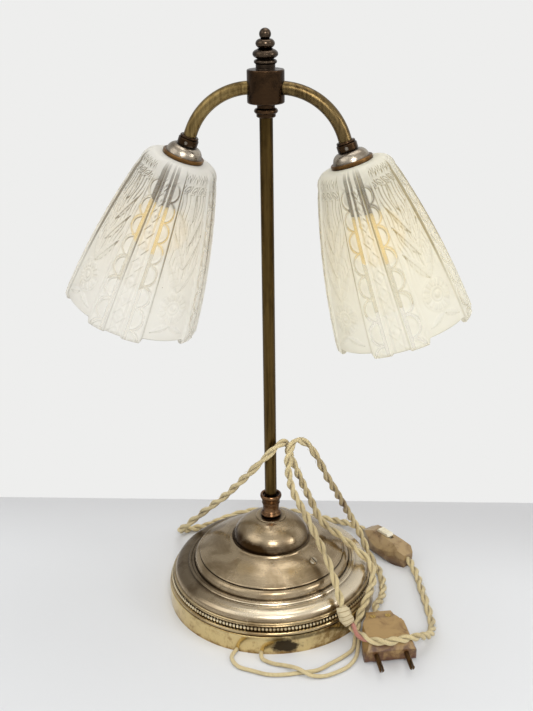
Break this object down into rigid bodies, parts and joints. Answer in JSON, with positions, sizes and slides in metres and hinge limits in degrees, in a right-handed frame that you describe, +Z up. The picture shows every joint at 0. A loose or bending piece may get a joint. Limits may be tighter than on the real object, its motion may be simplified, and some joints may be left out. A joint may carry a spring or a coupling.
{
  "type": "table lamp",
  "caption": "Table lamp with a stepped round metal base, a tube stem, bent arms with hanging pressed glass tulip shades, and a twisted cloth flex with a switch and a plug.",
  "frame": {"origin": "middle of the base on the table, under the stem", "axes": "+Z up, the arms along X, the front of the lamp faces -Y"},
  "size_m": [0.3186, 0.2477, 0.4733],
  "materials": {
    "plinth_brass": "polished brass with brown age streaks",
    "bead_brass": "polished on the beads, dark between them",
    "base_brass": "aged, fine turning lines",
    "dark_bronze": "dark bronze lacquer, satin",
    "tube_brass": "antique brass tube, worn",
    "ring_brass": "plain turned brass",
    "cup_brass": "grey-brown aged brass",
    "rim_brass": "antique brass, satin",
    "holder_brass": "aged brass",
    "shell_brass": "bright brass",
    "contact_brass": "bright brass",
    "screw_brass": "brass screw",
    "pin_brass": "tarnished brass",
    "screw_steel": "dark steel",
    "nut_steel": "plain steel",
    "cast_weight": "rough casting",
    "felt": "pressed felt",
    "ceramic": "glazed insulator",
    "shade_glass": "cream frosted pressed glass",
    "bulb_cap": "bright cap",
    "bulb_glass": "frosted bulb",
    "tape": "cloth tape",
    "cloth": "braided cloth over the conductor",
    "switch_bakelite": "moulded, satin gloss",
    "plug_bakelite": "moulded, satin gloss",
    "slider": "ivory moulding"
  },
  "bodies": {
    "lamp": {"plinth": "plinth_brass", "bead_ring": "plinth_brass", "bead_strip": "bead_brass", "base_shell": "base_brass", "base_screw": "screw_steel", "base_weight": "cast_weight", "felt_pad": "felt", "weight_washer": "nut_steel", "weight_nut": "nut_steel", "dome_nut": "nut_steel", "lower_collar": "dark_bronze", "stem_tube": "tube_brass", "upper_collar": "dark_bronze", "hub": "dark_bronze", "hub_splice": "tape", "finial": "dark_bronze", "stem_wires": "cloth", "base_wires": "cloth", "arm_left": "tube_brass", "arm_nut_left": "dark_bronze", "cup_left": "cup_brass", "cup_screw_left": "screw_steel", "rim_left": "rim_brass", "holder_left": "holder_brass", "insulator_left": "ceramic", "screw_shell_left": "shell_brass", "shade_left": "shade_glass", "shade_ring_left": "ring_brass", "bulb_cap_left": "bulb_cap", "bulb_left": "bulb_glass", "arm_wires_left": "cloth", "arm_right": "tube_brass", "arm_nut_right": "dark_bronze", "cup_right": "cup_brass", "cup_screw_right": "screw_steel", "rim_right": "rim_brass", "holder_right": "holder_brass", "insulator_right": "ceramic", "screw_shell_right": "shell_brass", "shade_right": "shade_glass", "shade_ring_right": "ring_brass", "bulb_cap_right": "bulb_cap", "bulb_right": "bulb_glass", "arm_wires_right": "cloth", "lead_a": "cloth", "lead_b": "cloth", "flex_to_switch": "cloth", "switch_base": "switch_bakelite", "switch_cover": "switch_bakelite", "switch_screws": "screw_steel", "switch_contacts": "contact_brass", "flex_to_splice": "cloth", "splice_wrap": "tape", "flex_to_plug": "cloth", "plug_base": "plug_bakelite", "plug_cover": "plug_bakelite", "plug_clamp": "plug_bakelite", "plug_screws": "screw_brass", "plug_pins": "pin_brass"},
    "slider": {"switch_slider": "slider"}
  },
  "joints": [
    {"name": "switch_slide", "type": "slide", "parent": "lamp", "child": "slider", "axis": [0.7071, -0.7071, 0], "range_m": [0, 0.006]}
  ]
}
